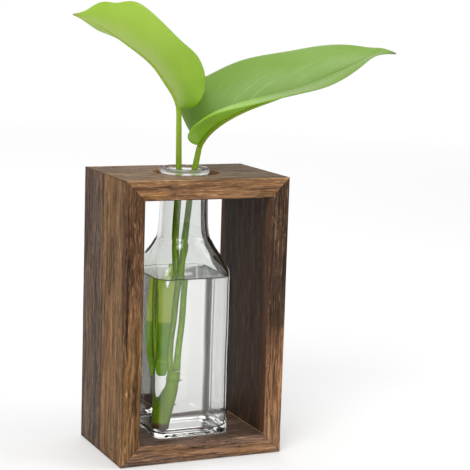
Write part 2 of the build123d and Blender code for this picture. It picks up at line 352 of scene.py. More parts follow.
# The top board: rings that run from the hole's wall over the top face, the edges and the underside, and back
def topBoard(name, seed, spec):
    low, high, ease = frameTop - board, frameTop, spec["ease"]
    holeRadius, holeEase = spec["hole"], spec["holeEase"]
    f, e = (np.linspace(-1, 1, spec[key], endpoint=False) for key in ("frontSteps", "endSteps"))
    unit = np.vstack([
        np.stack([f, -np.ones_like(f)], 1), np.stack([np.ones_like(e), e], 1),
        np.stack([-f, np.ones_like(f)], 1), np.stack([-np.ones_like(e), -e], 1),
    ])
    onEnd = np.abs(unit[:, 0]) == 1
    turn = np.arctan2(unit[:, 1] * halfDepth, unit[:, 0] * halfWidth)
    circle = np.stack([np.cos(turn), np.sin(turn)], 1)
    rows, heights = [], []

    def add(row, z):
        rows.append(row)
        heights.append(z)

    def edge(z, inset):
        return unit * np.array([halfWidth - (high - z) - spec["mitreGap"], halfDepth - inset])

    quarter = np.radians(np.linspace(0, 90, spec["quarterSteps"]))[1:]
    inner = circle * (holeRadius + holeEase)
    for z in np.linspace(low + holeEase, high - holeEase, spec["holeRows"]):
        add(circle * holeRadius, z)
    for q in quarter:
        add(circle * (holeRadius + holeEase * (1 - math.cos(q))), high - holeEase * (1 - math.sin(q)))
    for t in np.linspace(0, 1, spec["topRows"])[1:]:
        add(inner * (1 - t) + edge(high, ease) * t, high)
    for q in quarter:
        drop = ease * (1 - math.cos(q))
        add(edge(high - drop, ease * (1 - math.sin(q))), high - drop)
    for z in np.linspace(high - ease, low + ease, spec["edgeRows"])[1:]:
        add(edge(z, 0), z)
    for q in quarter:
        rise = ease * (1 - math.sin(q))
        add(edge(low + rise, ease * (1 - math.cos(q))), low + rise)
    for t in np.linspace(1, 0, spec["underRows"])[1:]:
        add(inner * (1 - t) + edge(low, ease) * t, low)
    for q in quarter[:-1]:
        add(circle * (holeRadius + holeEase * (1 - math.sin(q))), low + holeEase * (1 - math.cos(q)))
    flat, z = np.array(rows), np.array(heights)
    grid = np.concatenate([flat, np.broadcast_to(z[:, None, None], flat.shape[:2] + (1,))], 2)
    pattern = grain(grid[..., 0], grid[..., 1] + grid[..., 2], seed)
    fromHole = np.linalg.norm(flat, axis=2) - holeRadius
    onFace = np.isclose(grid[..., 2], high) | np.isclose(grid[..., 2], low)
    weight = np.clip(fromHole / spec["holeFade"], 0, 1) * np.where(onEnd, onFace, 1)
    normal = gridNormals(grid, True, True)
    sunk = (pattern - 1) * weight * spec["relief"] / 2 * outwardSign(grid, normal)
    return loopMesh(name, grid + normal * sunk[..., None], ring=True, values={"grain": pattern})


# -1 where a ring grid's normals point in, judged on its highest face, and 1 where they point out
def outwardSign(grid, normal):
    top = np.argmax(grid[..., 2].mean(1))
    return 1.0 if normal[top, 0, 2] > 0 else -1.0


# Lengths along and across the grain, detail and roughness of each noise, the axes along which a board's own
# offset shifts it, and the noise values between which it fades in
woodNoise = {
    "bands": {"size": (0.30, 0.009), "detail": 3.0, "rough": 0.55, "shift": (1, 0, 0), "fade": (0.40, 0.60)},
    "fibres": {"size": (0.034, 0.0009), "detail": 4.0, "rough": 0.7, "shift": (0, 1, 0), "fade": (0.42, 0.6)},
    "flecks": {"size": (0.012, 0.0007), "detail": 3, "rough": 0.6, "shift": (0, 0, 1), "fade": (0.56, 0.68)},
    "pores": {"size": (0.020, 0.0008), "detail": 3.0, "rough": 0.6, "shift": (1, 1, 0), "fade": (0.40, 0.30)},
    "patches": {"size": (0.05, 0.014), "detail": 2.0, "rough": 0.5, "shift": (0, 1, 1), "fade": (0.46, 0.68)},
    "bend": {"size": (0.035, 0.012), "detail": 2.0, "rough": 0.5, "shift": (1, 0, 0), "reach": 0.006},
    "waver": {"size": (0.010, 0.004), "detail": 2.0, "rough": 0.5, "shift": (0, 1, 0), "reach": 0.0009},
}


# Scorched and brushed wood: dark and red-brown bands, crossed by thin wavering fibres in tan and near black.
# axis is the grain's direction; a zone tints the bands inside its bounds, and calm bounds soften the fibres
def woodMaterial(name, axis, spec):
    material, tree, shader = newMaterial(name)
    place = objectPlace(tree)
    split = splitPlace(tree, place)

    def layer(key, vector):
        look = woodNoise[key]
        along, across = look["size"]
        scale = [1 / across] * 3
        scale[axis] = 1 / along
        offset = [spec["offset"] * s for s in look["shift"]]
        return noiseNode(tree, vector, scale, look["detail"], look["rough"], offset)

    def faded(key, noise):
        return ramp(tree, noise, *woodNoise[key]["fade"])

    def bentBy(key, vector):
        reach = woodNoise[key]["reach"]
        push = addNode(tree, "ShaderNodeVectorMath", operation="SCALE")
        feed(tree, push, 0, (0.0 if axis == 0 else reach, reach, 0.0 if axis == 2 else reach))
        feed(tree, push, "Scale", mathNode(tree, "SUBTRACT", layer(key, vector), 0.5))
        total = addNode(tree, "ShaderNodeVectorMath", operation="ADD")
        feedAll(tree, total, {0: vector, 1: push.outputs[0]})
        return total.outputs[0]

    bent = bentBy("bend", place)
    wavy = bentBy("waver", bent)
    bands, fibres, flecks = layer("bands", bent), layer("fibres", wavy), layer("flecks", wavy)
    pores, patches = layer("pores", bent), layer("patches", place)
    relief = addNode(tree, "ShaderNodeAttribute", attribute_name="grain")
    ridge = ramp(tree, relief.outputs["Fac"], -0.5, 0.45)
    colour = mix(tree, faded("bands", bands), spec["dark"], spec["red"])
    colour = mix(tree, times(tree, faded("patches", patches), spec["goldShare"]), colour, spec["gold"])
    for bounds, tint, share in spec["zones"]:
        mask = mathNode(tree, "ADD", share * 0.7, times(tree, patches, share * 0.6), True)
        colour = mix(tree, insideBounds(tree, split, bounds, mask), colour, srgb(*tint))
    calm = 1.0
    for zoneAxis, start, end in spec["calm"]:
        calm = times(tree, ramp(tree, split[zoneAxis], start * mm, end * mm, 1.0, 0.4), calm)
    fibre = mathNode(tree, "ADD", times(tree, faded("fibres", fibres), 0.6), times(tree, ridge, 0.4))
    fibre = mathNode(tree, "ADD", times(tree, mathNode(tree, "SUBTRACT", fibre, 0.4), calm), 0.4)
    shaded = mix(tree, 1.0, colour, spec["shade"], "MULTIPLY")
    lit = mix(tree, 1.0, colour, spec["lift"], "MULTIPLY")
    colour = mix(tree, fibre, shaded, lit)
    tan = times(tree, faded("flecks", flecks), times(tree, calm, spec["tanShare"]))
    tan = times(tree, tan, mathNode(tree, "ADD", 0.35, times(tree, ridge, 0.65)))
    bleached = mix(tree, 1.0, colour, spec["bleach"], "MULTIPLY")
    colour = mix(tree, tan, colour, mix(tree, 0.5, spec["tan"], bleached))
    pore = times(tree, faded("pores", pores), spec["poreShare"])
    colour = mix(tree, pore, colour, spec["pore"])
    rough = ramp(tree, fibres, 0.3, 0.7, 0.7, 0.5)
    feedAll(tree, shader, {"Base Color": colour, "Roughness": rough, "Specular IOR Level": 0.13})
    height = mathNode(tree, "ADD", fibres, times(tree, flecks, 0.6))
    addBump(tree, shader, mathNode(tree, "SUBTRACT", height, times(tree, pore, 0.5)), 0.0005, 0.8)
    return material


# A zone is a list of bounds, its tint and its share. Each bound names an axis, and two places on it in mm,
# between which the zone fades in
innerFace = ("X", 40.5, 39.6)
topFace = ("Z", 167.2, 167.9)
woodTones = {
    "shade": (0.30, 0.27, 0.26, 1), "lift": (1.6, 1.56, 1.5, 1), "bleach": (2.6, 2.5, 2.3, 1),
    "tan": srgb(196, 158, 112), "tanShare": 0.8, "gold": srgb(160, 116, 70), "goldShare": 0.4,
    "pore": srgb(34, 25, 22), "poreShare": 0.8, "calm": [],
}
woodLooks = {
    "frame_left_board": {
        "offset": 1.7, "dark": srgb(82, 67, 57), "red": srgb(106, 78, 58),
        "zones": [
            ([("Y", 6, 2)], (132, 98, 60), 0.75),
            ([("Y", 3, 10)], (86, 75, 68), 0.6),
            ([("Y", -0.4, 0.8), ("Y", 3.6, 2.4)], (58, 46, 40), 0.7),
            ([("Y", -26, -34), ("Z", 60, 120)], (84, 58, 42), 0.8),
            (
                [("Y", -34, -35.5), ("X", -50.2, -49.6), ("X", -48.2, -48.8), ("Z", 68, 76), ("Z", 128, 120)],
                (40, 30, 24), 0.9,
            ),
            ([("X", -40.5, -39.5)], (62, 48, 38), 0.9),
        ],
    },
    "frame_right_board": {
        "offset": 8.3, "dark": srgb(66, 51, 42), "red": srgb(92, 68, 52), "calm": [innerFace],
        "zones": [
            ([("Z", 90, 30), ("Y", -20, -34)], (150, 114, 84), 0.85),
            ([("Y", -30, -35.2), ("Z", 60, 110)], (60, 46, 38), 0.8),
            ([("Y", -34.5, -35.5), ("Z", 85, 55), ("Z", 10, 36)], (172, 126, 88), 0.55),
            ([innerFace], (64, 46, 34), 0.95),
            ([innerFace, ("Y", 10, 16), ("Y", 29, 23)], (38, 32, 30), 0.8),
            ([innerFace, ("Y", 29, 34)], (100, 66, 46), 0.8),
            ([innerFace, ("Y", -27, -33)], (104, 70, 50), 0.8),
            ([("X", 40, 39.4), ("Z", 12.9, 12.5)], (214, 178, 130), 1.0),
        ],
    },
    "frame_bottom_board": {
        "offset": 14.1, "dark": srgb(104, 84, 73), "red": srgb(135, 104, 80), "goldShare": 0.45,
        "zones": [([("Z", 11.3, 11.9)], (84, 68, 58), 0.9)],
    },
    "frame_top_board": {
        "offset": 21.9, "dark": srgb(124, 92, 66), "red": srgb(140, 104, 72), "goldShare": 0.6,
        "zones": [
            # Painted sheen: the greyer tints over the top face stand in for the white sky reflected on it
            ([topFace], (134, 110, 88), 0.95),
            ([topFace, ("X", 0, 30)], (112, 96, 80), 0.8),
            ([topFace, ("Y", -33, -35)], (164, 128, 90), 0.7),
            ([topFace, ("Y", 30, 34.5), ("X", -36, -44)], (176, 140, 100), 0.9),
            ([("Z", 156.8, 156.2)], (70, 56, 48), 0.9),
        ],
    },
}
boards = {
    "frame_left_board": mitredBoard("wood_left_board", True, -1, 11, woodSpec),
    "frame_right_board": mitredBoard("wood_right_board", True, 1, 23, woodSpec),
    "frame_bottom_board": mitredBoard("wood_bottom_board", False, -1, 37, woodSpec),
    "frame_top_board": topBoard("wood_top_board", 51, woodSpec),
}
for node, piece in boards.items():
    axis = 2 if node in ("frame_left_board", "frame_right_board") else 0
    piece.data.materials.append(woodMaterial(node + "_wood", axis, woodTones | woodLooks[node]))
    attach(piece, "frame")
    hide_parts(node)

# The strips glued into the mitres keep their plain shape, in a lighter wood
splineLooks = {
    "offset": 30.3, "dark": srgb(150, 116, 82), "red": srgb(170, 132, 92), "zones": [], "goldShare": 0.3,
}
splineWood = woodMaterial("spline_wood_light", 1, woodTones | splineLooks)
for node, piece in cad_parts.items():
    if node.startswith("spline"):
        piece.data.materials.clear()
        piece.data.materials.append(splineWood)
print("boards")

# Bottle: heights over the bench and half widths; a share of the shoulder's height says where its bends start
glassSpec = {
    "bodyTop": 92.5 * mm,
    "shoulder": 24.0 * mm,
    "corner": 5.0 * mm,
    "heel": 1.6 * mm,
    "neckFoot": 15.2 * mm,
    "neck": 14.1 * mm,
    "neckFade": 9.0 * mm,
    "neckTop": 156.3 * mm,
    "lipStart": 0.5 * mm,
    "wall": 2.2 * mm,
    "cornerWall": 0.6 * mm,
    "leastCorner": 0.5 * mm,
    "leastFlat": 0.05 * mm,
    "base": 4.0 * mm,
    "punt": 1.6 * mm,
    "puntBend": (0.66, 0.86),
    "floorCorner": 2.4 * mm,
    "fillet": 2.6 * mm,
    "waviness": 0.12 * mm,
    "waveLength": 22.0 * mm,
    "waveSeed": 5,
    "around": 288,
    "crowding": 0.16,
    "straightShare": 0.15,
    "roundShare": 0.9,
    "filletShares": (0.5, 0.9),
    "neckShare": 0.98,
    "shoulderFall": 0.64,
    "water": 94.8 * mm,
    "waterGrow": 0.15 * mm,
    "wallRise": 1.2 * mm,
    "meniscus": 1.3 * mm,
    "stemRise": 0.7 * mm,
    "stemFade": 1.0 * mm,
    "stemRadius": 1.9 * mm,
}
# Heights and radii of the rim, in mm, from the neck over the lip into the mouth
rimProfile = [
    (156.2, 14.25), (156.5, 14.6), (157.0, 14.85), (157.8, 14.9), (158.5, 14.8), (159.05, 14.45),
    (159.32, 13.95), (159.4, 13.4), (159.32, 12.9), (159.05, 12.4), (158.5, 12.1), (157.6, 12.0),
]
# Rings of the hollow underside and of the floor, as shares of the half width
puntShares = [0.15, 0.35, 0.55, 0.66, 0.70, 0.74, 0.78, 0.82, 0.86, 0.92, 0.97]
floorShares = [0.9, 0.7, 0.45, 0.2]


# Angles round the axis, closer together at the four corners: a + crowding sin(4a)
def ringAngles(spec):
    a = np.linspace(0, 2 * np.pi, spec["around"], endpoint=False)
    return a + spec["crowding"] * np.sin(4 * a)


# Distance from the axis to a square with rounded corners, in each direction
def squareRound(angles, half, corner):
    c, s = np.abs(np.cos(angles)), np.abs(np.sin(angles))
    big, small = np.maximum(c, s), np.minimum(c, s)
    centre = half - corner
    flat = half / big
    arc = centre * (c + s) + np.sqrt(np.maximum(corner**2 - centre**2 * (c - s)**2, 0))
    return np.where(small / big * half < centre, flat, arc)


# Half width and corner radius at a height above the bench: body, a cosine shoulder, and the neck, joined by
# (a + b + sqrt((a - b)^2 + f^2)) / 2, which rounds the inner bend where they meet
def bottleSize(z, spec):
    foot = spec["neckFoot"]
    s = np.clip((z - spec["bodyTop"]) / spec["shoulder"], 0, 1)
    t = np.clip((s - spec["straightShare"]) / (1 - spec["straightShare"]), 0, 1)
    half = foot + (bottleHalf - foot) * np.cos(np.pi / 2 * t)
    swing = np.sin(np.pi / 2 * np.minimum(1, s / spec["roundShare"]))
    corner = spec["corner"] + (foot - spec["corner"]) * swing**2
    above = np.maximum(z - spec["bodyTop"] - spec["shoulder"], 0)
    neck = spec["neck"] + (foot - spec["neck"]) * np.exp(-above / spec["neckFade"])
    half = np.where(s < 1, half, foot - above * spec["shoulderFall"])
    start, end = spec["filletShares"]
    rounding = spec["fillet"] * np.clip((s - start) / (end - start), 0, 1)
    half = (half + neck + np.sqrt((half - neck)**2 + rounding**2)) / 2
    corner = np.where(s < spec["neckShare"], np.minimum(corner, half), half)
    return half, np.minimum(corner, half - spec["leastFlat"])


# Rings of the bottle at the heights z; wave is how far a slow noise pushes them in and out
def bottleRows(z, half, corner, spec, wave=0.0):
    angles = ringAngles(spec)
    radius = squareRound(angles[None, :], half[:, None], corner[:, None])
    if wave:
        around = 8 + 4 * np.cos(angles) + 3 * np.sin(angles)
        swing = smoothNoise(z[:, None] / spec["waveLength"], around, spec["waveSeed"])
        radius = radius + (swing - 0.5) * 2 * wave
    rows = np.empty(radius.shape + (3,))
    rows[..., 0] = bottleX + radius * np.cos(angles)
    rows[..., 1] = bottleY + radius * np.sin(angles)
    rows[..., 2] = bench + z[:, None]
    return rows


# Corner radius of the hollow: a little less than the outer one, so the glass is thickest at the corners
def hollowCorner(corner, half, spec):
    return np.clip(corner - spec["cornerWall"], spec["leastCorner"], half - spec["leastFlat"])


def makeBottle(spec):
    wall, body, neckFoot = spec["wall"], spec["bodyTop"], spec["bodyTop"] + spec["shoulder"]
    quarter = np.radians(np.linspace(0, 90, 8))
    heelIn = spec["heel"] * (1 - np.sin(quarter[:-1]))
    z = np.concatenate([
        spec["heel"] * (1 - np.cos(quarter[:-1])), np.linspace(spec["heel"], body, 30)[:-1],
        np.linspace(body, neckFoot, 40)[:-1], np.linspace(neckFoot, spec["neckTop"] - spec["lipStart"], 24),
    ])
    inset = np.zeros_like(z)
    inset[:len(heelIn)] = heelIn
    half, corner = bottleSize(z, spec)
    outer = bottleRows(z, half - inset, corner - inset, spec)
    flat = np.array(puntShares) * (bottleHalf - spec["heel"])
    start, end = spec["puntBend"]
    t = np.clip((np.array(puntShares) - start) / (end - start), 0, 1)
    under = bottleRows(spec["punt"] * (1 - t * t * (3 - 2 * t)), flat, flat * 0.3, spec)
    lip = np.array(rimProfile) * mm
    rim = bottleRows(lip[:, 0], lip[:, 1], lip[:, 1] - spec["leastFlat"], spec)
    down = np.concatenate([
        np.linspace(spec["neckTop"], neckFoot, 20), np.linspace(neckFoot, body, 40)[1:],
        np.linspace(body, spec["base"] + spec["floorCorner"], 30)[1:],
    ])
    half, corner = bottleSize(down, spec)
    half = half - wall
    inner = bottleRows(down, half, hollowCorner(corner, half, spec), spec, spec["waviness"])
    floorZ = spec["base"] + spec["floorCorner"] * (1 - np.sin(quarter[1:]))
    floorIn = spec["floorCorner"] * (1 - np.cos(quarter[1:]))
    half = bottleHalf - wall - floorIn
    floor = bottleRows(floorZ, half, hollowCorner(spec["corner"] - floorIn, half, spec), spec)
    flat = np.array(floorShares) * (bottleHalf - wall - spec["floorCorner"])
    middle = bottleRows(np.full(len(flat), spec["base"]), flat, flat * 0.3, spec)
    return loopMesh("bottle_glass", np.concatenate([under, outer, rim, inner, floor, middle]))


# Water: the hollow's shape, a little into the glass, with a top that climbs the wall and the stems
def makeWater(spec, stems):
    level, grow = spec["water"], spec["waterGrow"]
    quarter = np.radians(np.linspace(90, 0, 7)[:-1])
    z = np.concatenate([
        spec["base"] + spec["floorCorner"] * (1 - np.sin(quarter)) - grow,
        np.linspace(spec["base"] + spec["floorCorner"], level - 1 * mm, 30),
        level + np.array([-0.5, 0, 0.5, 0.9, 1.2]) * mm,
    ])
    inset = np.zeros_like(z)
    inset[:len(quarter)] = spec["floorCorner"] * (1 - np.cos(quarter))
    half, corner = bottleSize(z, spec)
    half = half - spec["wall"] - inset
    corner = hollowCorner(corner - inset, half, spec)
    side = bottleRows(z, half + grow, corner + grow, spec, spec["waviness"])
    widths = np.array([0.2, 0.5, 0.8]) * half[0]
    bottom = bottleRows(np.full(len(widths), z[0]), widths, widths * 0.3, spec)
    reach = [np.linspace(0, 0.3, 3), np.linspace(0.35, 0.85, 7), 1 - np.geomspace(0.12, 0.004, 10)]
    reach = np.concatenate(reach)[::-1][:-1, None, None]
    edge, centre = side[-1][None, :, :2], np.array([bottleX, bottleY])
    flat = centre + (edge - centre) * reach
    fromWall = np.linalg.norm(edge - flat, axis=2)
    rise = spec["wallRise"] * np.exp(-fromWall / spec["meniscus"])
    for sx, sy, sr in stems:
        fromStem = np.maximum(np.hypot(flat[..., 0] - sx, flat[..., 1] - sy) - sr, 0)
        rise = rise + spec["stemRise"] * np.exp(-fromStem / spec["stemFade"])
    height = bench + level + np.minimum(rise, spec["wallRise"])
    return loopMesh("water", np.concatenate([bottom, side, np.concatenate([flat, height[..., None]], 2)]))


# Clear glass or water, with light passing straight through for shadow rays. Each edge changes the tint inside
# its bounds by its share; soft is a ramp of roughness with height
def clearMaterial(name, ior, tint, edges, soft=None):
    material, tree, shader = newMaterial(name)
    split = splitPlace(tree, objectPlace(tree))
    for edge in edges:
        tint = mix(tree, insideBounds(tree, split, edge["bounds"], edge["share"]), tint, edge["tint"])
    roughness = ramp(tree, split["Z"], *soft) if soft else 0.0
    feedAll(tree, shader, {"Base Color": tint, "Roughness": roughness, "IOR": ior, "Transmission Weight": 1})
    through = addNode(tree, "ShaderNodeBsdfTransparent")
    blend = addNode(tree, "ShaderNodeMixShader")
    rays = addNode(tree, "ShaderNodeLightPath")
    feedAll(tree, blend, {0: rays.outputs["Is Shadow Ray"], 1: shader.outputs[0], 2: through.outputs[0]})
    feed(tree, tree.nodes["Material Output"], "Surface", blend.outputs[0])
    return material


# A bound given in mm from the bottle's axis, or from the bench
def fromBottle(axis, start, end):
    origin = {"X": bottleX, "Y": bottleY, "Z": bench}[axis] / mm
    return axis, origin + start, origin + end


bottle = makeBottle(glassSpec)
glassTint = (0.86, 0.875, 0.855, 1)
rimBound = fromBottle("Z", 155.6, 156.8)
wetGlass = {"tint": (0.91, 0.915, 0.90, 1), "share": 1.0, "bounds": [fromBottle("Z", 96, 93)]}
# Painted shade: a near-black tint on the glass near its back-right corner, standing in for the dark band that
# refraction shows along that corner
paintedDarkCorner = {
    "tint": srgb(34, 36, 32), "share": 0.95,
    "bounds": [
        fromBottle("X", 18.8, 20.8), fromBottle("Y", 14, 18), fromBottle("Z", 96, 90), fromBottle("Z", 3, 7),
    ],
}
paleRim = {"tint": (1.0, 1.0, 0.99, 1), "share": 1.0, "bounds": [rimBound]}
softRim = (rimBound[1] * mm, rimBound[2] * mm, 0.0, 0.35)
bottleGlass = clearMaterial("bottle_glass_clear", 1.5, glassTint, (wetGlass, paintedDarkCorner, paleRim), softRim)
bottle.data.materials.append(bottleGlass)
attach(bottle, "bottle")
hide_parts("glass_bottle")
print("bottle")

# Cutting. A stem's place is a share of the reach to each side and of its height, a leaf's is a share of the
# leaf's length along spreadDir, awayDir and upDir
plantSpec = {
    "turn": 24.7,
    "reach": 17.6 * mm,
    "caneFoot": 16.0 * mm,
    "caneTop": 51.0 * mm,
    "leftBase": 206.6 * mm,
    "rightBase": 184.1 * mm,
    "leftLength": 82.5 * mm,
    "rightLength": 128.5 * mm,
    "leafThickness": 0.45 * mm,
    "swellLength": 6.0 * mm,
    "sheathOff": 2.15 * mm,
    "sheathDrop": 4.5 * mm,
    "sheathHalf": 0.5 * mm,
    "sheathCurl": 0.03 / mm,
}
turn = math.radians(plantSpec["turn"])
spreadDir = np.array([math.cos(turn), -math.sin(turn), 0])
awayDir = np.array([math.sin(turn), math.cos(turn), 0])
upDir = np.array([0, 0, 1.0])

caneShares = [
    (-0.973, -0.795, 0), (-0.823, -0.741, 0.343), (-0.659, -0.689, 0.69), (-0.594, -0.651, 0.87),
    (-0.548, -0.622, 1),
]
rightPetioleShares = [
    (-0.451, -0.593, 0), (-0.346, -0.425, 0.1), (-0.192, -0.222, 0.21), (-0.097, -0.039, 0.315),
    (0.019, 0.106, 0.46), (0.135, 0.145, 0.595), (0.261, 0.135, 0.75), (0.396, 0.106, 0.88), (0.57, 0.113, 1),
]
leftPetioleShares = [
    (-0.656, -0.554, 0), (-0.613, -0.278, 0.084), (-0.436, -0.023, 0.174), (-0.316, 0.155, 0.263),
    (-0.169, 0.246, 0.39), (-0.164, 0.295, 0.514), (-0.135, 0.251, 0.643), (-0.151, 0.164, 0.746),
    (-0.203, 0.08, 0.83), (-0.28, -0.06, 0.92), (-0.341, -0.156, 1),
]
# Beside the left stalk, from the free tip up: how far out and away, as shares of the reach; width in metres
sheathShares = [
    (0.116, 0.057, 0.0026), (0.065, 0.142, 0.0044), (0, 0.153, 0.0076), (0, 0.068, 0.0074), (0, 0, 0.0054),
    (0, 0, 0.0016),
]
# How far the sheath's free side reaches on behind the stalk, in mm, at shares of its height
sheathBehind = [(0, 0), (0.1, 1.5), (0.25, 4.0), (0.45, 3.6), (0.65, 1.2), (1, 0.1)]
leftMidribShares = [
    (0, 0, 0), (-0.02, -0.005, 0.06), (-0.05, -0.01, 0.115), (-0.105, -0.025, 0.195), (-0.172, -0.035, 0.285),
    (-0.256, -0.05, 0.362), (-0.37, -0.06, 0.442), (-0.475, -0.07, 0.513), (-0.6, -0.085, 0.586),
    (-0.76, -0.095, 0.641),
]
leftNearShares = [
    (0.005, -0.02, 0.01), (0.07, -0.073, 0.009), (0.13, -0.133, 0.038), (0.172, -0.185, 0.095),
    (0.192, -0.225, 0.2), (0.165, -0.255, 0.32), (0.115, -0.267, 0.398), (0.042, -0.279, 0.462),
    (-0.112, -0.279, 0.61), (-0.193, -0.267, 0.678), (-0.274, -0.255, 0.73), (-0.338, -0.242, 0.744),
    (-0.452, -0.206, 0.727), (-0.517, -0.182, 0.733), (-0.6, -0.145, 0.708), (-0.665, -0.121, 0.669),
    (-0.76, -0.095, 0.641),
]
leftFarShares = [
    (0.005, 0.012, 0.01), (0.063, 0.045, 0.018), (0.115, 0.08, 0.05), (0.146, 0.108, 0.105),
    (0.152, 0.13, 0.18), (0.128, 0.145, 0.255), (0.079, 0.155, 0.328), (-0.009, 0.158, 0.402),
    (-0.118, 0.155, 0.462), (-0.233, 0.14, 0.492), (-0.346, 0.115, 0.504), (-0.451, 0.075, 0.504),
    (-0.548, 0.02, 0.523), (-0.641, -0.035, 0.573), (-0.717, -0.08, 0.622), (-0.76, -0.095, 0.641),
]
rightMidribShares = [
    (0, 0, 0), (0.028, 0.004, 0.042), (0.074, 0.008, 0.088), (0.141, 0.008, 0.134), (0.214, 0.008, 0.172),
    (0.35, 0, 0.228), (0.49, -0.015, 0.292), (0.643, -0.03, 0.369), (0.78, -0.047, 0.438),
    (0.84, -0.056, 0.456), (0.89, -0.07, 0.45),
]
rightNearShares = [
    (-0.003, -0.023, 0.006), (-0.024, -0.078, 0.014), (-0.041, -0.132, 0.031), (-0.046, -0.171, 0.053),
    (-0.036, -0.202, 0.079), (-0.003, -0.233, 0.115), (0.048, -0.25, 0.152), (0.119, -0.262, 0.184),
    (0.194, -0.264, 0.205), (0.322, -0.257, 0.234), (0.482, -0.218, 0.271), (0.565, -0.194, 0.299),
    (0.627, -0.171, 0.33), (0.741, -0.117, 0.406), (0.79, -0.09, 0.437), (0.89, -0.07, 0.45),
]
rightFarShares = [
    (-0.005, 0.016, 0.017), (-0.028, 0.031, 0.038), (-0.048, 0.047, 0.062), (-0.072, 0.07, 0.1),
    (-0.092, 0.09, 0.143), (-0.096, 0.109, 0.19), (-0.08, 0.124, 0.236), (-0.038, 0.134, 0.278),
    (0.021, 0.14, 0.311), (0.17, 0.132, 0.383), (0.297, 0.117, 0.42), (0.404, 0.101, 0.443),
    (0.508, 0.078, 0.465), (0.613, 0.047, 0.478), (0.706, 0.016, 0.477), (0.768, -0.008, 0.472),
    (0.825, -0.04, 0.472), (0.89, -0.07, 0.45),
]


def stemPlaces(shares, foot, top):
    table = np.array(shares)
    flat = np.array([bottleX, bottleY]) + table[:, :2] * plantSpec["reach"]
    return np.hstack([flat, foot + table[:, 2:] * (top - foot)])


def leafPlaces(shares, base, length):
    table = np.array(shares)
    return base + (table[:, :1] * spreadDir + table[:, 1:2] * awayDir + table[:, 2:] * upDir) * length


# Round stem: circles square to a path, with radii carried along it and swollen by a slow noise; awayDir keeps
# them from twisting
def stemMesh(name, path, radii, sides, bumps, seed):
    ahead = np.gradient(path, axis=0)
    ahead /= np.linalg.norm(ahead, axis=1, keepdims=True)
    first = np.cross(awayDir, ahead)
    first /= np.linalg.norm(first, axis=1, keepdims=True)
    second = np.cross(ahead, first)
    a = np.linspace(0, 2 * np.pi, sides, endpoint=False)
    along = np.concatenate([[0], np.cumsum(np.linalg.norm(np.diff(path, axis=0), axis=1))])
    swell = smoothNoise(along[:, None] / plantSpec["swellLength"], 5 + 3 * np.cos(a), seed)
    radius = radii[:, None] * (1 + bumps * (swell - 0.5))
    out = np.cos(a)[:, None] * first[:, None] + np.sin(a)[:, None] * second[:, None]
    return loopMesh(name, path[:, None] + radius[..., None] * out)


# Stem tissue: two greens that change with height, a pale one in streaks along the stem and in blotches, and
# brown below the height called cut
tissueSpec = {
    "streakScale": (900, 900, 60), "streakFade": (0.45, 0.75), "streakShare": 0.45,
    "blotchScale": (160, 160, 60), "blotchFade": (0.5, 0.8), "blotchShare": 0.3,
    "cutFade": 2.5 * mm, "cutBrown": srgb(70, 48, 28), "bumpDepth": 0.2 * mm, "bumpStrength": 0.4,
}
stemLooks = {
    "cane_green": {
        "low": srgb(80, 106, 6), "high": srgb(106, 142, 8), "pale": srgb(146, 172, 40),
        "between": (16 * mm, 50 * mm), "gloss": 0.12, "cut": 21.5 * mm,
    },
    "stalk_green": {
        "low": srgb(108, 144, 14), "high": srgb(146, 172, 50), "pale": srgb(164, 196, 72),
        "between": (150 * mm, 190 * mm), "gloss": 0.1,
    },
    "sheath_green": {
        "low": srgb(118, 168, 6), "high": srgb(184, 206, 84), "pale": srgb(170, 204, 74),
        "between": (77.5 * mm, 79.5 * mm), "gloss": 0.1,
    },
}


def stemMaterial(name):
    look, spec = stemLooks[name], tissueSpec
    material, tree, shader = newMaterial(name)
    place = objectPlace(tree)
    split = splitPlace(tree, place)
    streaks = noiseNode(tree, place, spec["streakScale"], 3.0, 0.6)
    blotches = noiseNode(tree, place, spec["blotchScale"], 2.0)
    colour = mix(tree, ramp(tree, split["Z"], *look["between"]), look["low"], look["high"])
    streaky = times(tree, ramp(tree, streaks, *spec["streakFade"]), spec["streakShare"])
    colour = mix(tree, streaky, colour, look["pale"])
    blotchy = times(tree, ramp(tree, blotches, *spec["blotchFade"]), spec["blotchShare"])
    colour = mix(tree, blotchy, colour, look["pale"])
    if "cut" in look:
        browned = ramp(tree, split["Z"], look["cut"], look["cut"] - spec["cutFade"])
        colour = mix(tree, browned, colour, spec["cutBrown"])
    feedAll(tree, shader, {
        "Base Color": colour, "Roughness": 0.42, "Specular IOR Level": look["gloss"],
        "Subsurface Weight": 0.15, "Subsurface Radius": (0.4, 1.0, 0.15), "Subsurface Scale": 1 * mm,
    })
    addBump(tree, shader, streaks, spec["bumpDepth"], spec["bumpStrength"])
    return material


# Leaf: rows run out from the midrib along the side veins, arched by 4t(1 - t), with a groove at each vein
# that fades out towards the tip, and an edge that ripples with t cubed
leafShape = {
    "end": 0.995, "midribPower": 1.35, "grooveSharpness": 6, "grooveFade": (0.72, 0.86), "ripples": 2.5,
    "rippleReach": 8 * mm,
}


